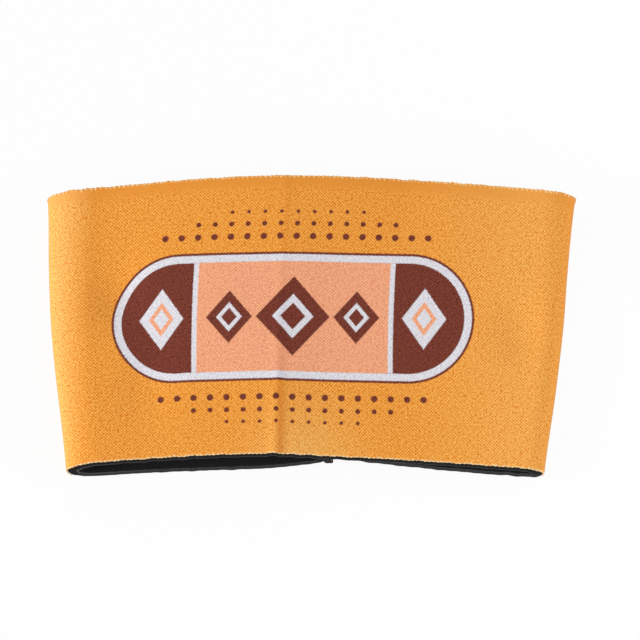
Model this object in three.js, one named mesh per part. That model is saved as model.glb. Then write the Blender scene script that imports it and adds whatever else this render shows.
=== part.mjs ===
// A soft neoprene coffee cup sleeve, lying on its back as it comes to rest, print side up.
//
// One curved strip of laminated neoprene (knit face, foam, knit lining) is rolled into a tapered tube.
// Its two ends turn in face to face and are overlocked together along the underside.
// Units are millimetres. +Z is up, the narrow rim is towards -Y and the wide rim is towards +Y.

import * as THREE from 'three';

// The strip as it is cut: a band of a flat ring, centred on the point where the tube's sides would meet.
const narrowRimRadius = 714;
const panelHeight = 70;

// The laminate, from the outer face inwards.
const faceThickness = 0.45;
const foamThickness = 2.0;
const liningThickness = 0.45;
const glueLine = 0.05;
const wall = faceThickness + glueLine + foamThickness + glueLine + liningThickness;

// The lying tube's cross-section at its two rims. Widths are of half the tube.
const narrowSection = {
  halfWidth: 58.4,
  leftBendHeight: 12.0,
  leftBendReach: 8.5,
  rightBendHeight: 7.6,
  rightBendReach: 4.4,
  ridgeHeight: 13.6,
  hollowOffset: 6,
  hollowHeight: 9.6,
};
const wideSection = {
  halfWidth: 63.8,
  leftBendHeight: 11.4,
  leftBendReach: 8.0,
  rightBendHeight: 10.4,
  rightBendReach: 7.6,
  ridgeHeight: 16.4,
  hollowOffset: 20,
  hollowHeight: 14.8,
};
// How much further the bends stand out halfway up the panel.
const sideBulge = 0.8;
// How far the wide rim has slid to the right over the narrow one.
const sidewaysLean = 1.6;

// The ridge that storage folding leaves along the front, opposite the seam.
const ridgeOffset = -5.8;
const ridgeRound = 3.2;
const ridgeReach = 22;
const shoulderRound = 6;

// The turned-in seam on the underside.
const seamOffset = 6.5;
const seamGap = 0.3;
const turnRadius = wall + 0.1;
const seamAllowance = 3.2;

// The panel's ends were cut a little askew, so both rims rise to a peak at the seam.
const seamPeakRight = 2.8;
const seamPeakLeft = 2.2;
const peakReachRight = 42;
const peakReachLeft = 27;

// The overlock thread, which wraps over both raw edges.
const threadDiameter = 0.4;
const threadClearance = 0.3;
const stitchAdvance = 3;
const stitchMargin = 2.5;

// Facets along the height and along each stretch of the cross-section.
const rowCount = 10;
const allowanceSteps = 1;
const turnSteps = 5;
const undersideSteps = 6;
const bendSteps = 9;
const rightFrontSteps = 11;
const leftFrontSteps = 9;
const threadSides = 4;
const threadStepsPerStitch = 12;

const quarterTurn = Math.PI / 2;
// At each end of the strip these stretches lie under the cup space: the allowance, its turn and the flat.
const backStretches = 3;

// The cross-section's sizes at a share of the height: 0 at the narrow rim and 1 at the wide one.
function sectionAt(share) {
  const section = {};
  for (const size of Object.keys(narrowSection)) {
    section[size] = THREE.MathUtils.lerp(narrowSection[size], wideSection[size], share);
  }
  section.halfWidth += sideBulge * Math.sin(Math.PI * share) ** 2;
  return section;
}

// The outer face's line round one cross-section, as [curve, steps] stretches from one raw end to the other.
// In each curve x runs across the sleeve and y is the height above the ground.
function outerLine(section) {
  const rightTurnX = seamOffset + seamGap / 2 + turnRadius;
  const leftTurnX = seamOffset - seamGap / 2 - turnRadius;
  const rawHeight = turnRadius + seamAllowance;
  const rightBendX = section.halfWidth - section.rightBendReach;
  const leftBendX = section.leftBendReach - section.halfWidth;
  const ridge = new THREE.Vector2(ridgeOffset, section.ridgeHeight);
  const rightTop = new THREE.Vector2(rightBendX, section.rightBendHeight);
  const leftTop = new THREE.Vector2(leftBendX, section.leftBendHeight);

  const bend = (x, reach, height, from) =>
    new THREE.EllipseCurve(x, height / 2, reach, height / 2, from, from + Math.PI);
  const turn = (x, from) =>
    new THREE.EllipseCurve(x, turnRadius, turnRadius, turnRadius, from, from + quarterTurn);
  const straight = (x1, y1, x2, y2) =>
    new THREE.LineCurve(new THREE.Vector2(x1, y1), new THREE.Vector2(x2, y2));

  const rightFront = new THREE.CubicBezierCurve(
    rightTop,
    new THREE.Vector2(section.hollowOffset, section.hollowHeight),
    new THREE.Vector2(ridge.x + ridgeRound, ridge.y),
    ridge,
  );
  const leftFront = new THREE.CubicBezierCurve(
    ridge,
    new THREE.Vector2(ridge.x - ridgeReach, ridge.y),
    new THREE.Vector2(leftTop.x + shoulderRound, leftTop.y),
    leftTop,
  );

  return [
    [straight(rightTurnX - turnRadius, rawHeight, rightTurnX - turnRadius, turnRadius), allowanceSteps],
    [turn(rightTurnX, Math.PI), turnSteps],
    [straight(rightTurnX, 0, rightBendX, 0), undersideSteps],
    [bend(rightBendX, section.rightBendReach, section.rightBendHeight, -quarterTurn), bendSteps],
    [rightFront, rightFrontSteps],
    [leftFront, leftFrontSteps],
    [bend(leftBendX, section.leftBendReach, section.leftBendHeight, quarterTurn), bendSteps],
    [straight(leftBendX, 0, leftTurnX, 0), undersideSteps],
    [turn(leftTurnX, -quarterTurn), turnSteps],
    [straight(leftTurnX + turnRadius, turnRadius, leftTurnX + turnRadius, rawHeight), allowanceSteps],
  ];
}

// How far a point of the panel is pushed towards the wide rim, by its place across the underside.
function seamPeak(x) {
  const fromSeam = x - seamOffset;
  const onRight = fromSeam > 0;
  const reach = onRight ? peakReachRight : peakReachLeft;
  const peak = onRight ? seamPeakRight : seamPeakLeft;
  return peak * Math.max(0, 1 - Math.abs(fromSeam) / reach);
}

// One row of the rolled strip: points of its outer face, each with the direction that leads inwards.
function rowAt(share) {
  const section = sectionAt(share);
  const radius = narrowRimRadius + panelHeight * share;
  const lean = sidewaysLean * (share - 0.5);
  const stations = [];
  outerLine(section).forEach(([curve, steps], index, line) => {
    const isBack = index < backStretches || index >= line.length - backStretches;
    for (let step = index === 0 ? 0 : 1; step <= steps; step++) {
      const point = curve.getPoint(step / steps);
      const along = curve.getTangent(step / steps);
      const reach = radius + (isBack ? seamPeak(point.x) : 0);
      const distance = Math.sqrt(reach ** 2 - point.x ** 2) - narrowRimRadius;
      stations.push({
        outer: new THREE.Vector3(point.x + lean, distance, point.y),
        inward: new THREE.Vector3(-along.y, 0, along.x),
      });
    }
  });
  return stations;
}

const rows = Array.from({ length: rowCount + 1 }, (_, row) => rowAt(row / rowCount));
const stationCount = rows[0].length - 1;

// A layer of the laminate: a flat strip of boxes, rolled vertex by vertex into its place in the wall.
function layer(name, depth, thickness, material) {
  const geometry = new THREE.BoxGeometry(stationCount, rowCount, 1, stationCount, rowCount, 1);
  geometry.translate(stationCount / 2, rowCount / 2, 0.5);
  const positions = geometry.attributes.position;
  const point = new THREE.Vector3();
  for (let index = 0; index < positions.count; index++) {
    const row = rows[Math.round(positions.getY(index))];
    const station = row[Math.round(positions.getX(index))];
    const inset = depth + thickness * positions.getZ(index);
    point.copy(station.outer).addScaledVector(station.inward, inset);
    positions.setXYZ(index, point.x, point.y, point.z);
  }
  geometry.computeVertexNormals();
  const mesh = new THREE.Mesh(geometry, material);
  mesh.name = name;
  return mesh;
}

function faceKnit() {
  const material = new THREE.MeshStandardMaterial({ color: 0xe99d42, roughness: 0.85, metalness: 0 });
  return layer('face_knit', 0, faceThickness, material);
}

function foamCore() {
  const material = new THREE.MeshStandardMaterial({ color: 0x2b2b2c, roughness: 0.95, metalness: 0 });
  return layer('foam_core', faceThickness + glueLine, foamThickness, material);
}

function liningKnit() {
  const material = new THREE.MeshStandardMaterial({ color: 0x1b1a1d, roughness: 0.9, metalness: 0 });
  return layer('lining_knit', wall - liningThickness, liningThickness, material);
}

// The thread crosses over the raw edges, goes down one side, steps along and crosses back.
function seamThread() {
  const aside = seamGap / 2 + wall + threadClearance + threadDiameter / 2;
  const low = wall + threadClearance + threadDiameter / 2;
  const high = turnRadius + seamAllowance + threadClearance + threadDiameter / 2;
  const seamLine = narrowRimRadius + (seamPeakLeft + seamPeakRight) / 2;
  const start = Math.sqrt(seamLine ** 2 - seamOffset ** 2) - narrowRimRadius + stitchMargin;
  const crossings = Math.floor((panelHeight - 2 * stitchMargin) / stitchAdvance) + 1;
  const points = [];
  for (let crossing = 0; crossing < crossings; crossing++) {
    const side = crossing % 2 === 0 ? aside : -aside;
    const distance = start + crossing * stitchAdvance;
    const middle = seamOffset + sidewaysLean * (distance / panelHeight - 0.5);
    points.push(new THREE.Vector3(middle + side, distance, low));
    points.push(new THREE.Vector3(middle + side, distance, high));
    points.push(new THREE.Vector3(middle - side, distance, high));
    points.push(new THREE.Vector3(middle - side, distance, low));
  }
  const path = new THREE.CatmullRomCurve3(points, false, 'catmullrom', 0.2);
  const section = new THREE.Shape();
  section.absarc(0, 0, threadDiameter / 2, 0, 2 * Math.PI);
  const geometry = new THREE.ExtrudeGeometry(section, {
    steps: crossings * threadStepsPerStitch,
    curveSegments: threadSides / 2,
    extrudePath: path,
  });
  const material = new THREE.MeshStandardMaterial({ color: 0x232225, roughness: 0.8, metalness: 0 });
  const mesh = new THREE.Mesh(geometry, material);
  mesh.name = 'seam_thread';
  return mesh;
}

const sleeve = new THREE.Group();
sleeve.add(faceKnit(), foamCore(), liningKnit(), seamThread());

// The origin is on the ground under the middle of the sleeve.
const middle = new THREE.Box3().setFromObject(sleeve).getCenter(new THREE.Vector3());
sleeve.position.set(-middle.x, -middle.y, 0);

export default sleeve;
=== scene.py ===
import math

import bmesh
import bpy
import numpy as np
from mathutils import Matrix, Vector, noise


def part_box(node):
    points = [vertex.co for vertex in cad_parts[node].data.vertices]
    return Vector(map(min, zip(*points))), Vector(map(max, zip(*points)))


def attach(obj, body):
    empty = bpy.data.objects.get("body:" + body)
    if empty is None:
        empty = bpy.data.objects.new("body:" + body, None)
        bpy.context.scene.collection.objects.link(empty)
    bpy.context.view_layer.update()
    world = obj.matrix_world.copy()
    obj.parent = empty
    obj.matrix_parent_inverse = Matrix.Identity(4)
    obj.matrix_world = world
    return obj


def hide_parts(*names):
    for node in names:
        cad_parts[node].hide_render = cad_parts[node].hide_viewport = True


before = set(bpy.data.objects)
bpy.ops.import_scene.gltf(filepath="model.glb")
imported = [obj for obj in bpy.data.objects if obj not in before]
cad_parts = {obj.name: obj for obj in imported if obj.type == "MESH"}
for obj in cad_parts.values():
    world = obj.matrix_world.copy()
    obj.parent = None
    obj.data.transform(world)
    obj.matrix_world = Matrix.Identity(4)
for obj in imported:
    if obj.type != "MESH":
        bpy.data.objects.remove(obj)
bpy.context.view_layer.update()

# The camera looks steeply down on the lying sleeve from the side of its narrow rim.
# A long lens keeps both rims nearly level, as in a catalogue picture of a flat thing.
CAMERA_ELEVATION = math.radians(72)
CAMERA_DISTANCE = 6.0
PIXELS_PER_METRE = 4120
VIEW_WIDTH = 640 / PIXELS_PER_METRE
AIM = Vector((0.00227, 0.0004, 0.0080))
SENSOR_WIDTH = 0.036

camera_data = bpy.data.cameras.new("camera")
camera_data.sensor_width = SENSOR_WIDTH * 1000
camera_data.lens = SENSOR_WIDTH * 1000 * CAMERA_DISTANCE / VIEW_WIDTH
camera_data.clip_end = 20
camera = bpy.data.objects.new("camera", camera_data)
bpy.context.collection.objects.link(camera)
backward = Vector((0, -math.cos(CAMERA_ELEVATION), math.sin(CAMERA_ELEVATION)))
camera.location = AIM + backward * CAMERA_DISTANCE
camera.rotation_euler = backward.to_track_quat("Z", "Y").to_euler()
bpy.context.scene.camera = camera


# The sheet: laminated neoprene, cut as one band of a flat ring and rolled into a flattened tapered tube.
# It lies on its seamed back. Its front rises to the ridge that storage folding left opposite the seam,
# and its fuller bend is on the left.
NARROW_RIM_RADIUS = 0.714
PANEL_HEIGHT = 0.070
WALL = 0.0030
FACE_THICKNESS = 0.00045
FOAM_THICKNESS = 0.0020
LINING_THICKNESS = 0.00045
GLUE_LINE = 0.00005
LEFT_BULGE = 0.0014
RIGHT_BULGE = 0.0007
SIDEWAYS_LEAN = 0.00124
CORNER_FLARE = 0.0005
CORNER_FLARE_SHARE = 0.07
# Heights and reaches of the bends: the left one's above and below its outermost point, and the right one's.
NARROW = {"half": 0.05804, "left_up": (0.0060, 0.0085), "left_down": (0.0060, 0.0085),
          "right": (0.0038, 0.0044), "ridge": 0.0136, "hollow": (0.006, 0.0096)}
WIDE = {"half": 0.06400, "left_up": (0.0068, 0.0112), "left_down": (0.0046, 0.0062),
        "right": (0.0052, 0.0076), "ridge": 0.0164, "hollow": (0.020, 0.0148)}
RIDGE_X = (-0.0068, -0.0058)
RIDGE_ROUND = 0.0032
RIDGE_REACH = 0.022
SHOULDER_ROUND = 0.006
SEAM_X = 0.0065
SEAM_GAP = 0.0001
TURN_RADIUS = WALL + 0.0001
SEAM_ALLOWANCE = 0.0032
SEAM_PEAKS = {"left": (0.0022, 0.027, 2.5), "right": (0.0028, 0.042, 1.8)}
STITCH_ADVANCE = 0.003
PUCKER_DEPTH = 0.00022
PUCKER_REACH = 0.0045
LINE_STEPS = 48
SHEET_COLUMNS = 340


def between(share, narrow, wide):
    return np.array(narrow) + (np.array(wide) - np.array(narrow)) * share


def arc(centre, radii, start, turn):
    angles = math.radians(start) + math.radians(turn) * np.linspace(0, 1, LINE_STEPS)
    return np.stack([centre[0] + radii[0] * np.cos(angles), centre[1] + radii[1] * np.sin(angles)], 1)


def bow(*handles):
    t = np.linspace(0, 1, LINE_STEPS)[:, None]
    a, b, c, d = (np.array(handle) for handle in handles)
    return a * (1 - t) ** 3 + 3 * b * t * (1 - t) ** 2 + 3 * c * t**2 * (1 - t) + d * t**3


def outer_line(share):
    """The outer face's line round the sleeve at a share of its height, from one raw end to the other."""
    half = between(share, NARROW["half"], WIDE["half"])
    swell = math.sin(math.pi * share) ** 2
    up_high, up_reach = between(share, NARROW["left_up"], WIDE["left_up"])
    down_high, down_reach = between(share, NARROW["left_down"], WIDE["left_down"])
    right_high, right_reach = between(share, NARROW["right"], WIDE["right"])
    ridge = between(share, NARROW["ridge"], WIDE["ridge"])
    hollow = between(share, NARROW["hollow"], WIDE["hollow"])
    ridge_x = between(share, *RIDGE_X)
    right_half = half + RIGHT_BULGE * swell + CORNER_FLARE * math.exp((share - 1) / CORNER_FLARE_SHARE)
    left_half = half + LEFT_BULGE * swell
    right_x = right_half - right_reach
    shoulder_x, foot_x = up_reach - left_half, down_reach - left_half
    shoulder_z = up_high + down_high
    turn, raw = TURN_RADIUS, TURN_RADIUS + SEAM_ALLOWANCE
    face_right, face_left = SEAM_X + SEAM_GAP / 2, SEAM_X - SEAM_GAP / 2
    stretches = [
        np.linspace((face_right, raw), (face_right, turn), LINE_STEPS),
        arc((face_right + turn, turn), (turn, turn), 180, 90),
        np.linspace((face_right + turn, 0), (right_x, 0), LINE_STEPS),
        arc((right_x, right_high), (right_reach, right_high), -90, 180),
        bow((right_x, 2 * right_high), hollow, (ridge_x + RIDGE_ROUND, ridge), (ridge_x, ridge)),
        bow((ridge_x, ridge), (ridge_x - RIDGE_REACH, ridge),
            (shoulder_x + SHOULDER_ROUND, shoulder_z), (shoulder_x, shoulder_z)),
        arc((shoulder_x, down_high), (up_reach, up_high), 90, 90),
        arc((foot_x, down_high), (down_reach, down_high), 180, 90),
        np.linspace((foot_x, 0), (face_left - turn, 0), LINE_STEPS),
        arc((face_left - turn, turn), (turn, turn), -90, 90),
        np.linspace((face_left, turn), (face_left, raw), LINE_STEPS),
    ]
    return np.concatenate([stretches[0]] + [stretch[1:] for stretch in stretches[1:]])


def seam_peak(x):
    side = "right" if x > SEAM_X else "left"
    peak, reach, steepness = SEAM_PEAKS[side]
    return peak * max(0.0, 1 - abs(x - SEAM_X) / reach) ** steepness


def hump(value, centre, spread):
    return math.exp(-(((value - centre) / spread) ** 2))


def softness(x, share):
    """How far the soft front has sunk from its even form, by its place across and up, in metres."""
    ridge_x = between(share, *RIDGE_X)
    sharpness = 0.18 + (1 - share) ** 2
    crease = -0.00045 * hump(x, ridge_x - 0.0006, 0.0013) * sharpness
    valley = 0.00032 * hump(x, ridge_x + 0.0019, 0.0013) * sharpness
    # The three deeper ones are local: a depth, with its middle and spread across and then up.
    dent = 0.0017 * hump(x, -0.0455, 0.0060) * hump(share, 0.59, 0.11)
    pull = 0.0013 * hump(x, -0.0390, 0.0070) * hump(share, 0.28, 0.20)
    press = 0.0016 * hump(x, 0.0515, 0.0055) * hump(share, 0.49, 0.12)
    slack = 0.00030 * noise.noise(Vector((x * 60, share * 3.2, 3.0)))
    rim_roll = 0.00060 * math.exp((share - 1) / 0.030) * max(0.0, 1 - (x / 0.054) ** 6)
    return crease + valley + dent + pull + press + slack + rim_roll


def cut_wander(x, share, side):
    """How far a rim was cut past its even line, which fades out in the first millimetres of the panel."""
    nearness = math.exp(-min(share, 1 - share) * 30)
    return nearness * 0.00022 * noise.noise(Vector((x * 420, share * 9, side)))


def rolled(columns, rows, drawn_back=0.0):
    """Where the rolled sheet's outer face lies, its way inwards, and the same places on the flat cut."""
    places = np.zeros((rows + 1, columns + 1, 3))
    inwards = np.zeros((rows + 1, columns + 1, 3))
    flat = np.zeros((rows + 1, columns + 1, 2))
    for row in range(rows + 1):
        share = row / rows
        line = outer_line(share)
        steps = np.linalg.norm(np.diff(line, axis=0), axis=1)
        lengths = np.concatenate([[0], np.cumsum(steps)])
        stations = np.linspace(0, lengths[-1], columns + 1)
        x = np.interp(stations, lengths, line[:, 0])
        z = np.interp(stations, lengths, line[:, 1])
        along = np.stack([np.gradient(x), np.gradient(z)], 1)
        along /= np.linalg.norm(along, axis=1)[:, None]
        radius = NARROW_RIM_RADIUS + PANEL_HEIGHT * share
        right_bend = lengths[3 * (LINE_STEPS - 1)]
        left_bend = lengths[-3 * (LINE_STEPS - 1) - 1]
        for column in range(columns + 1):
            angle = (lengths[-1] / 2 - stations[column]) / radius
            up = radius * math.cos(angle) - NARROW_RIM_RADIUS - PANEL_HEIGHT / 2
            back = stations[column] < right_bend or stations[column] > left_bend
            reach = radius + cut_wander(x[column], share, float(back))
            if back:
                reach += seam_peak(x[column])
            reach += drawn_back * min(1.0, max(0.0, along[column, 0] + 0.5)) * math.exp(-share * 50)
            y = math.sqrt(reach**2 - x[column] ** 2) - NARROW_RIM_RADIUS
            inward = (-along[column, 1], 0, along[column, 0])
            if back:
                pucker = 0.5 + 0.5 * math.cos(2 * math.pi * (up / STITCH_ADVANCE))
                near_seam = hump(x[column], SEAM_X, PUCKER_REACH)
                sunk = PUCKER_DEPTH * pucker * near_seam * max(0.0, along[column, 0])
            else:
                sunk = softness(x[column], share)
            places[row, column] = (x[column] - SIDEWAYS_LEAN * (1 - share), y, z[column])
            places[row, column] += sunk * np.array(inward)
            inwards[row, column] = inward
            flat[row, column] = (radius * math.sin(angle), up)
    return places, inwards, flat


# The wide rim reaches as far as the CAD face does.
MIDDLE = np.array([0, rolled(SHEET_COLUMNS, 1)[0][..., 1].max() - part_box("face_knit")[1][1], 0])


def sheet_piece(name, rows, depth, thickness, drawn_back=0.0):
    """A layer of the sheet: a flat grid, rolled into its place in the wall and given its thickness."""
    places, inwards, flat = rolled(SHEET_COLUMNS, rows, drawn_back)
    bm = bmesh.new()
    bmesh.ops.create_grid(bm, x_segments=SHEET_COLUMNS, y_segments=rows, size=0.5)
    column_of = bm.verts.layers.int.new("column")
    row_of = bm.verts.layers.int.new("row")
    for vert in bm.verts:
        vert[column_of] = round((vert.co.x + 0.5) * SHEET_COLUMNS)
        vert[row_of] = round((vert.co.y + 0.5) * rows)
    thickened = bmesh.ops.extrude_face_region(bm, geom=bm.faces[:])
    inner = {part for part in thickened["geom"] if isinstance(part, bmesh.types.BMVert)}
    for vert in bm.verts:
        at = (vert[row_of], vert[column_of])
        inset = depth + (thickness if vert in inner else 0)
        vert.co = Vector(places[at] + inwards[at] * inset - MIDDLE)
    cut = bm.loops.layers.uv.new("cut")
    for face in bm.faces:
        face.smooth = True
        for loop in face.loops:
            loop[cut].uv = flat[loop.vert[row_of], loop.vert[column_of]]
    if bm.calc_volume(signed=True) < 0:
        bmesh.ops.reverse_faces(bm, faces=bm.faces[:])
    for edge in bm.edges:
        edge.smooth = edge.calc_face_angle(0) < math.radians(50)
    return finished(name, bm)


def finished(name, bm):
    mesh = bpy.data.meshes.new(name)
    bm.to_mesh(mesh)
    bm.free()
    piece = bpy.data.objects.new(name, mesh)
    bpy.context.collection.objects.link(piece)
    return piece


# The outer knit: undyed polyester jersey, printed orange all over with dye that stays in its surface.
# The print is a band with rows of beads above and below it, and the cut edge shows the pale yarn within.
# Each dye is given deep for the holes between the loops and pale for their tops, as painted shade and
# painted highlight of the knit; the second orange is painted light.
DYES_WITH_KNIT_SHADE = {
    "orange": ((0.655, 0.156, 0.002, 1), (0.960, 0.458, 0.086, 1)),
    "orange highlight": ((0.750, 0.262, 0.038, 1), (1.000, 0.655, 0.205, 1)),
    # Painted light: this orange is painted on the bends, the right panel and beside the fold, where the
    # lamps fall strongest.
    "maroon": ((0.100, 0.015, 0.009, 1), (0.235, 0.058, 0.036, 1)),
    "white": ((0.560, 0.545, 0.590, 1), (0.840, 0.825, 0.870, 1)),
    "salmon": ((0.700, 0.240, 0.120, 1), (0.980, 0.480, 0.270, 1)),
    "yarn": ((0.740, 0.420, 0.150, 1), (1.000, 0.720, 0.390, 1)),
}
DYE_EDGE_MM = 0.12
STITCH_MM = 0.80
STITCH_SQUATNESS = 0.94
KNIT_DRAWN_BACK = 0.0005
RIM_TICK_MM = 1.05
NEAR_WIDE_RIM_MM = 10
BAND_HALF_LENGTH_MM = 44.2
BAND_HALF_HEIGHT_MM = 16.2
BAND_OUTLINE_MM = 0.6
BAND_BORDER_MM = 2.4
BAND_END_MM = 24.5
DIVIDER_MM = 1.2
PRINT_OFFSET_MM = 4.0
PRINT_RAISE_MM = -0.6
# Each lozenge: its place along the band, its half width and half height, and its two dyes.
LOZENGES = [(0, 9.0, 10.0, "maroon", "white"), (15.5, 5.6, 6.6, "maroon", "white"),
            (32.0, 5.4, 7.6, "white", "salmon")]
LOZENGE_INNER = 0.56
LOZENGE_CORE = 0.34
LOZENGE_SLANT = 0.7
# Each row of beads: its height over the band's middle, the beads' radius and half the row's length.
BEAD_ROWS = [(20.2, 0.80, 32), (23.4, 0.62, 24), (26.4, 0.46, 16)]
BEAD_PITCH_MM = 4.0


# Materials are node trees. Each of these helpers writes a node or two.
def new_material(name, **sockets):
    material = bpy.data.materials.new(name)
    material.use_nodes = True
    shader = material.node_tree.nodes["Principled BSDF"]
    for socket, value in sockets.items():
        shader.inputs[socket.replace("_", " ")].default_value = value
    return material, material.node_tree, shader


def node(tree, kind, settings=None, **inputs):
    made = tree.nodes.new(kind)
    for key, value in (settings or {}).items():
        setattr(made, key, value)
    for key, value in inputs.items():
        plug(tree, made.inputs[key.replace("_", " ")], value)
    return made


def plug(tree, socket, value):
    if isinstance(value, bpy.types.NodeSocket):
        tree.links.new(value, socket)
    else:
        socket.default_value = value


def calc(tree, operation, *values):
    made = tree.nodes.new("ShaderNodeMath")
    made.operation = operation
    for socket, value in zip(made.inputs, values):
        plug(tree, socket, value)
    return made.outputs[0]


def blend_colour(tree, share, first, second):
    made = tree.nodes.new("ShaderNodeMix")
    made.data_type = "RGBA"
    plug(tree, made.inputs[0], share)
    plug(tree, made.inputs[6], first)
    plug(tree, made.inputs[7], second)
    return made.outputs[2]


def clamp(tree, value):
    made = tree.nodes.new("ShaderNodeClamp")
    plug(tree, made.inputs[0], value)
    return made.outputs[0]


def ramp(tree, value, empty, full):
    """0 where a value is at or past empty, 1 where it is at or past full, and even in between."""
    slope = 1 / (full - empty)
    return clamp(tree, calc(tree, "MULTIPLY_ADD", value, slope, -empty * slope))


def bell(tree, value, centre, spread):
    """1 where a value is at the centre, falling away evenly on both sides of it."""
    off = calc(tree, "DIVIDE", calc(tree, "SUBTRACT", value, centre), spread)
    return calc(tree, "POWER", math.e, calc(tree, "MULTIPLY", calc(tree, "MULTIPLY", off, off), -1))


def inside(tree, distance):
    """1 where a signed distance in millimetres is below nought, with the soft edge of a dye."""
    return clamp(tree, calc(tree, "SUBTRACT", 0.5, calc(tree, "DIVIDE", distance, DYE_EDGE_MM * 2)))


def cut_place(tree):
    """The place on the flat cut sheet, in millimetres across and up."""
    read = node(tree, "ShaderNodeUVMap", {"uv_map": "cut"})
    parts = node(tree, "ShaderNodeSeparateXYZ", Vector=read.outputs[0])
    across = calc(tree, "MULTIPLY", parts.outputs[0], 1000)
    up = calc(tree, "MULTIPLY", parts.outputs[1], 1000)
    return read.outputs[0], across, up


def hypotenuse(tree, first, second):
    squares = calc(tree, "ADD", calc(tree, "POWER", first, 2), calc(tree, "POWER", second, 2))
    return calc(tree, "SQRT", squares)


def rim_distance(tree, across, up):
    """How far a place on the cut sheet is from the nearer rim, in millimetres."""
    middle_radius = (NARROW_RIM_RADIUS + PANEL_HEIGHT / 2) * 1000
    radius = hypotenuse(tree, across, calc(tree, "ADD", up, middle_radius))
    off_middle = calc(tree, "ABSOLUTE", calc(tree, "SUBTRACT", radius, middle_radius))
    return calc(tree, "SUBTRACT", PANEL_HEIGHT * 500, off_middle)


def speckle(tree, place, per_metre):
    made = node(tree, "ShaderNodeTexNoise", {"noise_dimensions": "2D"},
                Vector=place, Scale=per_metre, Detail=2.0, Roughness=0.55)
    return made.outputs[0]


def knit_height(tree, place, across, up):
    """Staggered loops of jersey: 1 on top of a loop and 0 in the hole between four."""
    wander = calc(tree, "MULTIPLY", calc(tree, "SUBTRACT", speckle(tree, place, 230), 0.5), STITCH_MM * 0.9)
    u = calc(tree, "MULTIPLY", calc(tree, "ADD", across, wander), 2 * math.pi / STITCH_MM)
    course = STITCH_MM * STITCH_SQUATNESS
    v = calc(tree, "MULTIPLY", calc(tree, "SUBTRACT", up, wander), 2 * math.pi / course)
    loops = calc(tree, "MULTIPLY", calc(tree, "SINE", u), calc(tree, "SINE", v))
    uneven = calc(tree, "MULTIPLY_ADD", speckle(tree, place, 2000), 1.6, -0.80)
    dropped = clamp(tree, calc(tree, "MULTIPLY_ADD", speckle(tree, place, 1450), 9.0, -5.9))
    even = calc(tree, "ADD", calc(tree, "MULTIPLY_ADD", loops, 0.40, 0.54), uneven)
    return clamp(tree, calc(tree, "SUBTRACT", even, dropped))


def fold_across(rim):
    """Where the flank of the fold meets a rim on the flat cut sheet, in millimetres across."""
    share = 0 if rim == "narrow" else 1
    columns, rows = 2 * SHEET_COLUMNS, 4
    places, inwards, flat = rolled(columns, rows)
    row = rows * share
    front = [column for column in range(columns + 1) if inwards[row, column][2] < -0.5]
    x = between(share, *RIDGE_X) + 0.0007 - SIDEWAYS_LEAN * (1 - share)
    column = min(front, key=lambda number: abs(places[row, number][0] - x))
    return float(flat[row, column][0]) * 1000


def painted_fold_shade(tree, across, up):
    """1 along the right flank of the fold, where shade is painted as deeper knit colour, and 0 away from it.
    """
    low, high = fold_across("narrow"), fold_across("wide")
    share = calc(tree, "MULTIPLY_ADD", up, 1 / (PANEL_HEIGHT * 1000), 0.5)
    centre = calc(tree, "MULTIPLY_ADD", share, high - low, low)
    strip = bell(tree, across, centre, 0.95)
    fade = ramp(tree, share, 0.6333, -0.0333)
    return calc(tree, "MULTIPLY", strip, calc(tree, "MULTIPLY_ADD", fade, 0.85, 0.15))


def painted_bend_light(tree, across, up):
    """Where light is painted into the knit as paler colour: over the bends, on the right panel and beside
    the fold near the narrow rim.
    """
    right = calc(tree, "MULTIPLY", ramp(tree, across, 27.94, 57.35), 0.32)
    left = calc(tree, "MULTIPLY", ramp(tree, across, -46.15, -53.85), 0.72)
    bends = calc(tree, "MAXIMUM", right, left)
    above_floor = ramp(tree, calc(tree, "ABSOLUTE", across), 73, 63)
    near_rim = calc(tree, "MULTIPLY", ramp(tree, up, -15.56, -37.78), 0.75)
    fold = calc(tree, "MULTIPLY", bell(tree, across, 7.059, 11.765), near_rim)
    return calc(tree, "MAXIMUM", calc(tree, "MULTIPLY", bends, above_floor), fold)


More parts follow.
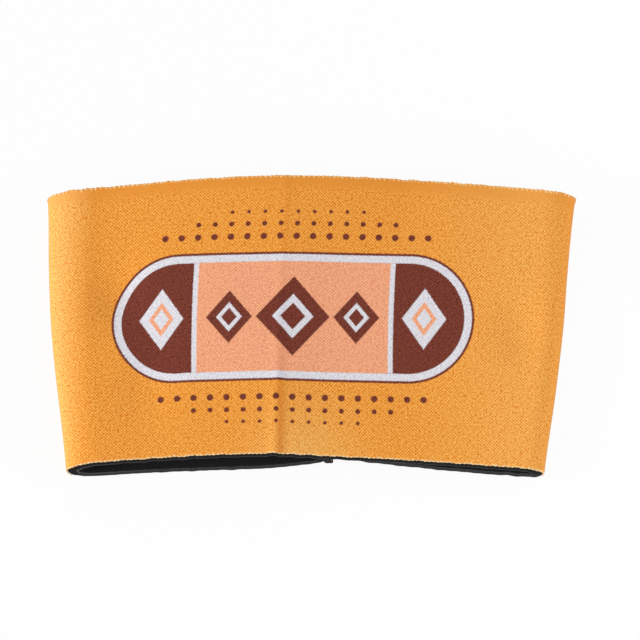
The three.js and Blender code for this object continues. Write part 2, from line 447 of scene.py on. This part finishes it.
def print_with_painted_light(tree, place, across, up, loops):
    """The dyed fields of colour, from the ground colour to the smallest motif, with painted shade and
    painted highlight in the knit.
    """
    # Painted shade: along the fold's right flank the loops are pulled towards their deep colour.
    loops = calc(tree, "MULTIPLY", loops, calc(tree, "MULTIPLY_ADD", painted_fold_shade(tree, across, up), -0.60, 1))
    # Painted shade and highlight: each dye runs from its deep colour in the loops' holes to its pale colour
    # on their tops.
    dyes_with_knit_shade = {name: blend_colour(tree, loops, deep, pale) for name, (deep, pale) in DYES_WITH_KNIT_SHADE.items()}
    bleed = calc(tree, "MULTIPLY", calc(tree, "SUBTRACT", speckle(tree, place, 2400), 0.5), 0.30)
    # The design is the same left and right and above and below, so it is written for one quarter.
    u = calc(tree, "ABSOLUTE", calc(tree, "ADD", calc(tree, "SUBTRACT", across, PRINT_OFFSET_MM), bleed))
    v = calc(tree, "ABSOLUTE", calc(tree, "ADD", calc(tree, "SUBTRACT", up, PRINT_RAISE_MM), bleed))
    # Painted highlight: the ground orange is blended towards a paler orange over the bends, the right panel
    # and beside the fold.
    colour = blend_colour(tree, painted_bend_light(tree, across, up), dyes_with_knit_shade["orange"], dyes_with_knit_shade["orange highlight"])

    end_run = calc(tree, "MAXIMUM", calc(tree, "SUBTRACT", u, BAND_HALF_LENGTH_MM - BAND_HALF_HEIGHT_MM), 0)
    from_line = hypotenuse(tree, end_run, v)
    fields = ((0, "maroon"), (BAND_OUTLINE_MM, "white"), (BAND_BORDER_MM, "maroon"))
    for inset, dye in fields:
        field = inside(tree, calc(tree, "SUBTRACT", from_line, BAND_HALF_HEIGHT_MM - inset))
        colour = blend_colour(tree, field, colour, dyes_with_knit_shade[dye])
    within = inside(tree, calc(tree, "SUBTRACT", from_line, BAND_HALF_HEIGHT_MM - BAND_BORDER_MM))
    for reach, dye in ((BAND_END_MM, "white"), (BAND_END_MM - DIVIDER_MM, "salmon")):
        field = inside(tree, calc(tree, "SUBTRACT", u, reach))
        colour = blend_colour(tree, calc(tree, "MULTIPLY", within, field), colour, dyes_with_knit_shade[dye])

    for centre, half_width, half_height, outer, inner in LOZENGES:
        off = calc(tree, "DIVIDE", calc(tree, "ABSOLUTE", calc(tree, "SUBTRACT", u, centre)), half_width)
        reach = calc(tree, "ADD", off, calc(tree, "DIVIDE", v, half_height))
        for share, dye in ((1, outer), (LOZENGE_INNER, inner), (LOZENGE_CORE, outer)):
            edge = calc(tree, "MULTIPLY", calc(tree, "SUBTRACT", reach, share), half_width * LOZENGE_SLANT)
            colour = blend_colour(tree, inside(tree, edge), colour, dyes_with_knit_shade[dye])

    for height, radius, row_half in BEAD_ROWS:
        off = calc(tree, "PINGPONG", calc(tree, "ADD", u, BEAD_PITCH_MM / 2), BEAD_PITCH_MM / 2)
        off = calc(tree, "SUBTRACT", BEAD_PITCH_MM / 2, off)
        from_bead = hypotenuse(tree, off, calc(tree, "SUBTRACT", v, height))
        bead = inside(tree, calc(tree, "SUBTRACT", from_bead, radius))
        in_row = calc(tree, "LESS_THAN", u, row_half + BEAD_PITCH_MM / 2)
        colour = blend_colour(tree, calc(tree, "MULTIPLY", bead, in_row), colour, dyes_with_knit_shade["maroon"])

    # The cut lifts the yarn at both rims, where its undyed side shows as short ticks.
    ragged = calc(tree, "MULTIPLY_ADD", speckle(tree, place, 700), 0.6, -0.30)
    shifted = calc(tree, "MULTIPLY_ADD", speckle(tree, place, 190), 2.0, across)
    tick = calc(tree, "SINE", calc(tree, "MULTIPLY", shifted, 2 * math.pi / RIM_TICK_MM))
    reach = calc(tree, "MULTIPLY_ADD", calc(tree, "GREATER_THAN", up, NEAR_WIDE_RIM_MM), 0.28, 0.14)
    depth = calc(tree, "ADD", calc(tree, "MULTIPLY_ADD", tick, reach, 0.12), ragged)
    lifted = inside(tree, calc(tree, "SUBTRACT", rim_distance(tree, across, up), depth))
    return blend_colour(tree, lifted, colour, dyes_with_knit_shade["yarn"])


face_material, tree, shader = new_material("printed_knit", Roughness=0.88, Specular_IOR_Level=0.12,
                                           Sheen_Weight=0.5, Sheen_Roughness=0.35,
                                           Sheen_Tint=(1.0, 0.78, 0.52, 1))
place, across, up = cut_place(tree)
loops = knit_height(tree, place, across, up)
# The heat of the cutting iron has shut the knit along the wide rim, and its loops are evened out there
# towards a deeper colour, as painted shade of the rim's curl.
off_rim = calc(tree, "MULTIPLY_ADD", speckle(tree, place, 120), 2.0, rim_distance(tree, across, up))
closed_and_shaded = ramp(tree, off_rim, 4.909, 3.091)
closed_and_shaded = calc(tree, "MULTIPLY", closed_and_shaded, calc(tree, "GREATER_THAN", up, NEAR_WIDE_RIM_MM))
even = calc(tree, "MULTIPLY_ADD", calc(tree, "SUBTRACT", loops, 0.42), 0.2, 0.42)
loops = calc(tree, "ADD", loops, calc(tree, "MULTIPLY", closed_and_shaded, calc(tree, "SUBTRACT", even, loops)))
plug(tree, shader.inputs["Base Color"], print_with_painted_light(tree, place, across, up, loops))
relief = node(tree, "ShaderNodeBump", Strength=0.45, Distance=0.00012, Height=loops)
plug(tree, shader.inputs["Normal"], relief.outputs[0])

face = sheet_piece("printed_face", rows=88, depth=0.0, thickness=FACE_THICKNESS, drawn_back=KNIT_DRAWN_BACK)
face.data.materials.append(face_material)
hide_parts("face_knit")
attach(face, "root")


# The rims' cut yarn: the knit was cut through, so a short end of each cut loop shows at both rims.
# It stands at the narrow rim and is turned over the edge at the wide one. It is undyed inside, and so paler.
NARROW_YARN_RADIUS = 0.00014
WIDE_YARN_RADIUS = 0.00019
RIM_COLUMNS = 960
RIM_ROWS = 24
COLUMNS_PER_WALE = 4


def threads(name, paths, radius):
    """Closed threads with their ends drawn in, as one piece, along paths that each have a fineness."""
    curve = bpy.data.curves.new(name, "CURVE")
    curve.dimensions = "3D"
    curve.bevel_depth = radius
    curve.bevel_resolution = 1
    curve.use_fill_caps = True
    for path, fineness in paths:
        spline = curve.splines.new("POLY")
        spline.points.add(len(path) - 1)
        for index, point in enumerate(spline.points):
            point.co = (*path[index], 1)
            point.radius = fineness * (0.45 if index in (0, len(path) - 1) else 1)
    spun = bpy.data.objects.new(name + "_path", curve)
    drawn = bpy.data.meshes.new_from_object(spun)
    bm = bmesh.new()
    bm.from_mesh(drawn)
    bmesh.ops.remove_doubles(bm, verts=bm.verts[:], dist=0.000001)
    for face in bm.faces:
        face.smooth = True
    bpy.data.objects.remove(spun)
    bpy.data.curves.remove(curve)
    bpy.data.meshes.remove(drawn)
    return finished(name, bm)


def narrow_yarn(root, inward, along, jitter):
    """A cut end that stands out of the narrow rim and bends over."""
    away = Vector((0, -1, 0))
    foot = root + inward * (0.00012 + 0.00006 * jitter[0]) + along * 0.00025 * jitter[1]
    lift = 0.000048 + 0.000032 * jitter[2]
    lean = along * (0.00026 + 0.00020 * jitter[3])
    return [foot - away * 0.0003, foot + away * lift * 0.55, foot + away * lift + lean * 0.5,
            foot + away * lift * 0.85 + lean * 1.2, foot - away * 0.0001 + lean * 1.7]


def wide_yarn(root, inward, along, jitter):
    """A cut end that lies on the face and turns over the wide rim's edge."""
    away = Vector((0, 1, 0))
    foot = root + inward * (0.00004 + 0.00018 * max(0.0, inward.z)) + along * 0.00012 * jitter[1]
    lean = along * (-0.00024 + 0.00014 * jitter[3])
    hang = 0.00068 + 0.00020 * jitter[2]
    return [foot - away * hang + inward * 0.0001, foot - away * hang * 0.7 + lean * 0.3,
            foot - away * 0.0001 + lean, foot + away * 0.00002 + lean + inward * 0.00016,
            foot - away * 0.0001 + lean + inward * 0.0003]


def rim_yarn(rim):
    """Yarn ends along one rim, one at each cut wale, leaning this way and that."""
    row = 0 if rim == "narrow" else RIM_ROWS
    places, inwards, _ = rolled(RIM_COLUMNS, RIM_ROWS)
    paths = []
    for column in range(COLUMNS_PER_WALE, RIM_COLUMNS - 3, COLUMNS_PER_WALE):
        jitter = [noise.noise(Vector((column * 0.37, row * 1.7, number * 5.3))) for number in range(4)]
        root = Vector(places[row, column] - MIDDLE)
        inward = Vector(inwards[row, column])
        along = Vector(places[row, column + 3] - places[row, column]).normalized()
        if rim == "wide":
            paths.append((wide_yarn(root, inward, along, jitter), 1))
        elif inward.z < 0.6:
            paths.append((narrow_yarn(root, inward, along, jitter), 1))
    radius = NARROW_YARN_RADIUS if rim == "narrow" else WIDE_YARN_RADIUS
    return threads(f"{rim}_rim_yarn", paths, radius)


for rim, dyed, undyed in (("narrow", (0.80, 0.46, 0.15, 1), (1.00, 0.80, 0.46, 1)),
                          ("wide", (0.74, 0.33, 0.07, 1), (0.96, 0.60, 0.22, 1))):
    yarn_material, tree, shader = new_material(f"cut_yarn_{rim}", Roughness=0.8, Sheen_Weight=0.05)
    where = node(tree, "ShaderNodeTexCoord").outputs["Object"]
    tint = node(tree, "ShaderNodeTexNoise", Vector=where, Scale=1100.0, Detail=1.0).outputs[0]
    tint = ramp(tree, tint, 0.25, 0.6667)
    plug(tree, shader.inputs["Base Color"], blend_colour(tree, tint, dyed, undyed))
    relief = node(tree, "ShaderNodeBump", Strength=0.3, Distance=0.00005, Height=tint)
    plug(tree, shader.inputs["Normal"], relief.outputs[0])
    yarn = rim_yarn(rim)
    yarn.data.materials.append(yarn_material)
    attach(yarn, "root")


# The foam core: closed-cell rubber foam, 2 mm thick, seen only where the rims are cut.
# It is painted paler grey underneath, as painted light bounced up from the floor.
FOAM_GREY = (0.0060, 0.0058, 0.0056, 1)
FOAM_PALE = (0.024, 0.020, 0.018, 1)
FOAM_BOUNCE_LIT = (0.050, 0.049, 0.048, 1)

foam_material, tree, shader = new_material("cut_foam", Roughness=0.95, Specular_IOR_Level=0.1)
where = node(tree, "ShaderNodeTexCoord").outputs["Object"]
cells = node(tree, "ShaderNodeTexVoronoi", Vector=where, Scale=3200.0).outputs["Distance"]
grain = node(tree, "ShaderNodeTexNoise", Vector=where, Scale=900.0, Detail=3.0).outputs[0]
foam_colour = blend_colour(tree, calc(tree, "MULTIPLY", cells, grain), FOAM_GREY, FOAM_PALE)
height = node(tree, "ShaderNodeSeparateXYZ", Vector=where).outputs[2]
# Painted light: the foam is paler towards the floor, where the floor's light bounces onto it.
painted_floor_light = calc(tree, "MULTIPLY", ramp(tree, height, 0.004, 0.002571), 0.8)
foam_colour = blend_colour(tree, painted_floor_light, foam_colour, FOAM_BOUNCE_LIT)
plug(tree, shader.inputs["Base Color"], foam_colour)
relief = node(tree, "ShaderNodeBump", Strength=0.6, Distance=0.0002, Height=cells)
plug(tree, shader.inputs["Normal"], relief.outputs[0])

foam = sheet_piece("foam_sheet", rows=24, depth=FACE_THICKNESS + GLUE_LINE, thickness=FOAM_THICKNESS)
foam.data.materials.append(foam_material)
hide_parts("foam_core")
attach(foam, "root")


# The lining: black ribbed polyester knit, bonded to the foam's inside with its ribs along the height.
# The yarn's cut ends show as a grey line at the rims, most of all where the left bend spreads them.
LINING_BLACK = (0.0036, 0.0034, 0.0040, 1)
LINING_PALE = (0.030, 0.029, 0.032, 1)
LINING_CUT = (0.105, 0.103, 0.102, 1)
RIB_MM = 0.55

lining_material, tree, shader = new_material("ribbed_lining", Roughness=0.85, Sheen_Weight=0.1,
                                             Specular_IOR_Level=0.2)
place, across, up = cut_place(tree)
wave = calc(tree, "SINE", calc(tree, "MULTIPLY", across, 2 * math.pi / RIB_MM))
rib = calc(tree, "MULTIPLY_ADD", wave, 0.5, 0.5)
fleck = speckle(tree, place, 1400)
ribbed = blend_colour(tree, calc(tree, "MULTIPLY", rib, fleck), LINING_BLACK, LINING_PALE)
at_cut = calc(tree, "LESS_THAN", rim_distance(tree, across, up), 0.05)
spread_yarn = calc(tree, "MULTIPLY_ADD", bell(tree, across, -56, 18), 0.60, 0.03)
cut_yarn = calc(tree, "MULTIPLY", at_cut, spread_yarn)
plug(tree, shader.inputs["Base Color"], blend_colour(tree, cut_yarn, ribbed, LINING_CUT))
relief = node(tree, "ShaderNodeBump", Strength=0.5, Distance=0.00015, Height=rib)
plug(tree, shader.inputs["Normal"], relief.outputs[0])

lining = sheet_piece("ribbed_lining", rows=40, depth=WALL - LINING_THICKNESS, thickness=LINING_THICKNESS)
lining.data.materials.append(lining_material)
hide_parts("lining_knit")
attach(lining, "root")


# The overlock thread: spun polyester, wrapped over both raw edges inside the back and pulled tight.
# Its chain runs on past the narrow rim as a short tail, and its stitches bridge the groove underneath.
THREAD_RADIUS = 0.00020
THREAD_CLEARANCE = 0.0003
STITCH_MARGIN = 0.0025
BRIDGE_FINENESS = 0.7
BRIDGE_HEIGHT = 0.0009
KNOT_POINTS = 110

seam_line = NARROW_RIM_RADIUS + (SEAM_PEAKS["left"][0] + SEAM_PEAKS["right"][0]) / 2
seam_start = math.sqrt(seam_line**2 - SEAM_X**2) - NARROW_RIM_RADIUS + STITCH_MARGIN
crossings = int((PANEL_HEIGHT - 2 * STITCH_MARGIN) / STITCH_ADVANCE) + 1
beside = SEAM_GAP / 2 + WALL + THREAD_CLEARANCE + THREAD_RADIUS
above_edges = TURN_RADIUS + SEAM_ALLOWANCE + THREAD_CLEARANCE + THREAD_RADIUS
below_edges = WALL + THREAD_CLEARANCE + THREAD_RADIUS


def seam_place(aside, distance, height):
    lean = SIDEWAYS_LEAN * (1 - distance / PANEL_HEIGHT)
    return Vector((SEAM_X + aside - lean, distance, height)) - Vector(MIDDLE)


def rounded(points, steps=5):
    """The points with short even bows between them, as a pulled thread bends."""
    line = []
    for index in range(len(points) - 1):
        a, b = points[max(index - 1, 0)], points[index]
        c, d = points[index + 1], points[min(index + 2, len(points) - 1)]
        for step in range(steps):
            t = step / steps
            pull_b, pull_c = (c - a) * 0.2, (d - b) * 0.2
            line.append(b * (2 * t**3 - 3 * t**2 + 1) + pull_b * (t**3 - 2 * t**2 + t)
                        + c * (3 * t**2 - 2 * t**3) + pull_c * (t**3 - t**2))
    return line + [points[-1]]


wraps = []
for crossing in range(crossings):
    side = beside if crossing % 2 == 0 else -beside
    distance = seam_start + crossing * STITCH_ADVANCE
    wraps += [seam_place(side, distance, below_edges), seam_place(side, distance, above_edges),
              seam_place(-side, distance, above_edges), seam_place(-side, distance, below_edges)]
strands = [(rounded(wraps), 1)]

# The chain's tail turns down over the seam's end, where its last loops are knotted.
# Each place of the tail is given aside of the seam, past the rim and above the ground.
tail = [(0.0016, 0.0035, 0.0062), (0.0006, 0.0010, 0.0058), (-0.0002, -0.0003, 0.0046),
        (-0.0008, -0.0006, 0.0034), (-0.0012, -0.0008, 0.0024)]
spread = [(0, 0, 0), (0.00034, 0.0002, 0.00024), (-0.00034, 0.0001, 0.00022),
          (0.00050, -0.0002, -0.00030), (-0.00048, -0.0001, -0.00026)]
for strand, (offset_x, offset_y, offset_z) in enumerate(spread):
    path = []
    for index, (aside, past_rim, height) in enumerate(tail[:len(tail) - strand % 3]):
        sway = (-1) ** (index + strand)
        distance = seam_start - STITCH_MARGIN + past_rim + offset_y
        path.append(seam_place(aside + offset_x * sway, distance, height + offset_z * sway))
    strands.append((rounded(path), 1))
knot = []
for number in range(KNOT_POINTS):
    angle = number * 0.62
    aside = -0.0009 + 0.00105 * math.cos(angle) * (0.7 + 0.3 * math.cos(angle * 0.31))
    distance = seam_start - STITCH_MARGIN - 0.0006 + 0.00085 * math.sin(angle * 1.13)
    height = 0.0034 + 0.0011 * math.sin(angle + 0.8 * math.cos(angle * 0.23))
    knot.append(seam_place(aside, distance, height))
strands.append((rounded(knot, 3), 1))

for stitch in range(crossings + 1):
    distance = seam_start + (stitch - 0.5) * STITCH_ADVANCE
    bridge = [seam_place(aside, distance, BRIDGE_HEIGHT + rise)
              for aside, rise in ((-0.0020, 0.0004), (-0.0008, 0), (0.0008, 0), (0.0020, 0.0004))]
    strands.append((bridge, BRIDGE_FINENESS))
thread = threads("overlock_thread", strands, THREAD_RADIUS)

thread_material, tree, shader = new_material("spun_thread", Roughness=0.8, Sheen_Weight=0.05)
where = node(tree, "ShaderNodeTexCoord").outputs["Object"]
ply = node(tree, "ShaderNodeTexNoise", Vector=where, Scale=2500.0, Detail=2.0).outputs[0]
plug(tree, shader.inputs["Base Color"],
     blend_colour(tree, ply, (0.0040, 0.0016, 0.0013, 1), (0.0130, 0.0050, 0.0042, 1)))
relief = node(tree, "ShaderNodeBump", Strength=0.4, Distance=0.0001, Height=ply)
plug(tree, shader.inputs["Normal"], relief.outputs[0])
thread.data.materials.append(thread_material)
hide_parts("seam_thread")
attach(thread, "root")


# The studio: a plain pale floor and two soft lamps, with the camera's background plain white.
# The low lamp on the left draws out the dents, and the near one on the right lights the other bend.
FLOOR_HALF = 1.5
FLOOR_DROP = 0.0001
FLOOR_WHITE = 0.86
FLOOR_GLOW = 0.94
SKY_SEEN = 1.0
SKY_LIGHT = 0.40

floor_bm = bmesh.new()
bmesh.ops.create_grid(floor_bm, x_segments=1, y_segments=1, size=FLOOR_HALF)
bmesh.ops.translate(floor_bm, verts=floor_bm.verts, vec=(0, 0, -FLOOR_DROP))
floor_mesh = bpy.data.meshes.new("floor")
floor_bm.to_mesh(floor_mesh)
floor_bm.free()
floor = bpy.data.objects.new("floor", floor_mesh)
bpy.context.collection.objects.link(floor)
floor_material, tree, shader = new_material("floor", Roughness=1.0)
shader.inputs["Base Color"].default_value = (FLOOR_WHITE, FLOOR_WHITE, FLOOR_WHITE, 1)
shader.inputs["Specular IOR Level"].default_value = 0
rays = node(tree, "ShaderNodeLightPath")
glow = node(tree, "ShaderNodeEmission", Strength=1.0)
seen = calc(tree, "MULTIPLY", rays.outputs["Is Camera Ray"], FLOOR_GLOW)
mixed = node(tree, "ShaderNodeMixShader")
plug(tree, mixed.inputs[0], seen)
plug(tree, mixed.inputs[1], shader.outputs[0])
plug(tree, mixed.inputs[2], glow.outputs[0])
plug(tree, tree.nodes["Material Output"].inputs["Surface"], mixed.outputs[0])
floor.data.materials.append(floor_material)

world = bpy.data.worlds.new("studio")
bpy.context.scene.world = world
world.use_nodes = True
tree = world.node_tree
tree.nodes.clear()
rays = node(tree, "ShaderNodeLightPath")
mirror = calc(tree, "MAXIMUM", rays.outputs["Is Camera Ray"], rays.outputs["Is Glossy Ray"])
white_seen = calc(tree, "MAXIMUM", mirror, rays.outputs["Is Transmission Ray"])
strength = calc(tree, "MULTIPLY_ADD", white_seen, SKY_SEEN - SKY_LIGHT, SKY_LIGHT)
sky = node(tree, "ShaderNodeBackground", Strength=strength)
sky.inputs["Color"].default_value = (1, 1, 1, 1)
output = node(tree, "ShaderNodeOutputWorld")
plug(tree, output.inputs["Surface"], sky.outputs[0])


def soft_lamp(name, azimuth, elevation, distance, size, power):
    lamp = bpy.data.lights.new(name, "AREA")
    lamp.size = size
    lamp.energy = power
    made = bpy.data.objects.new(name, lamp)
    way = Vector((math.sin(azimuth) * math.cos(elevation), -math.cos(azimuth) * math.cos(elevation),
                  math.sin(elevation)))
    made.location = way * distance
    made.rotation_euler = way.to_track_quat("Z", "Y").to_euler()
    bpy.context.collection.objects.link(made)


soft_lamp("key", azimuth=math.radians(-80), elevation=math.radians(22), distance=1.1, size=0.7, power=11.8)
soft_lamp("fill", azimuth=math.radians(80), elevation=math.radians(40), distance=0.45, size=0.28, power=1.02)

bpy.context.scene.view_settings.view_transform = "Standard"
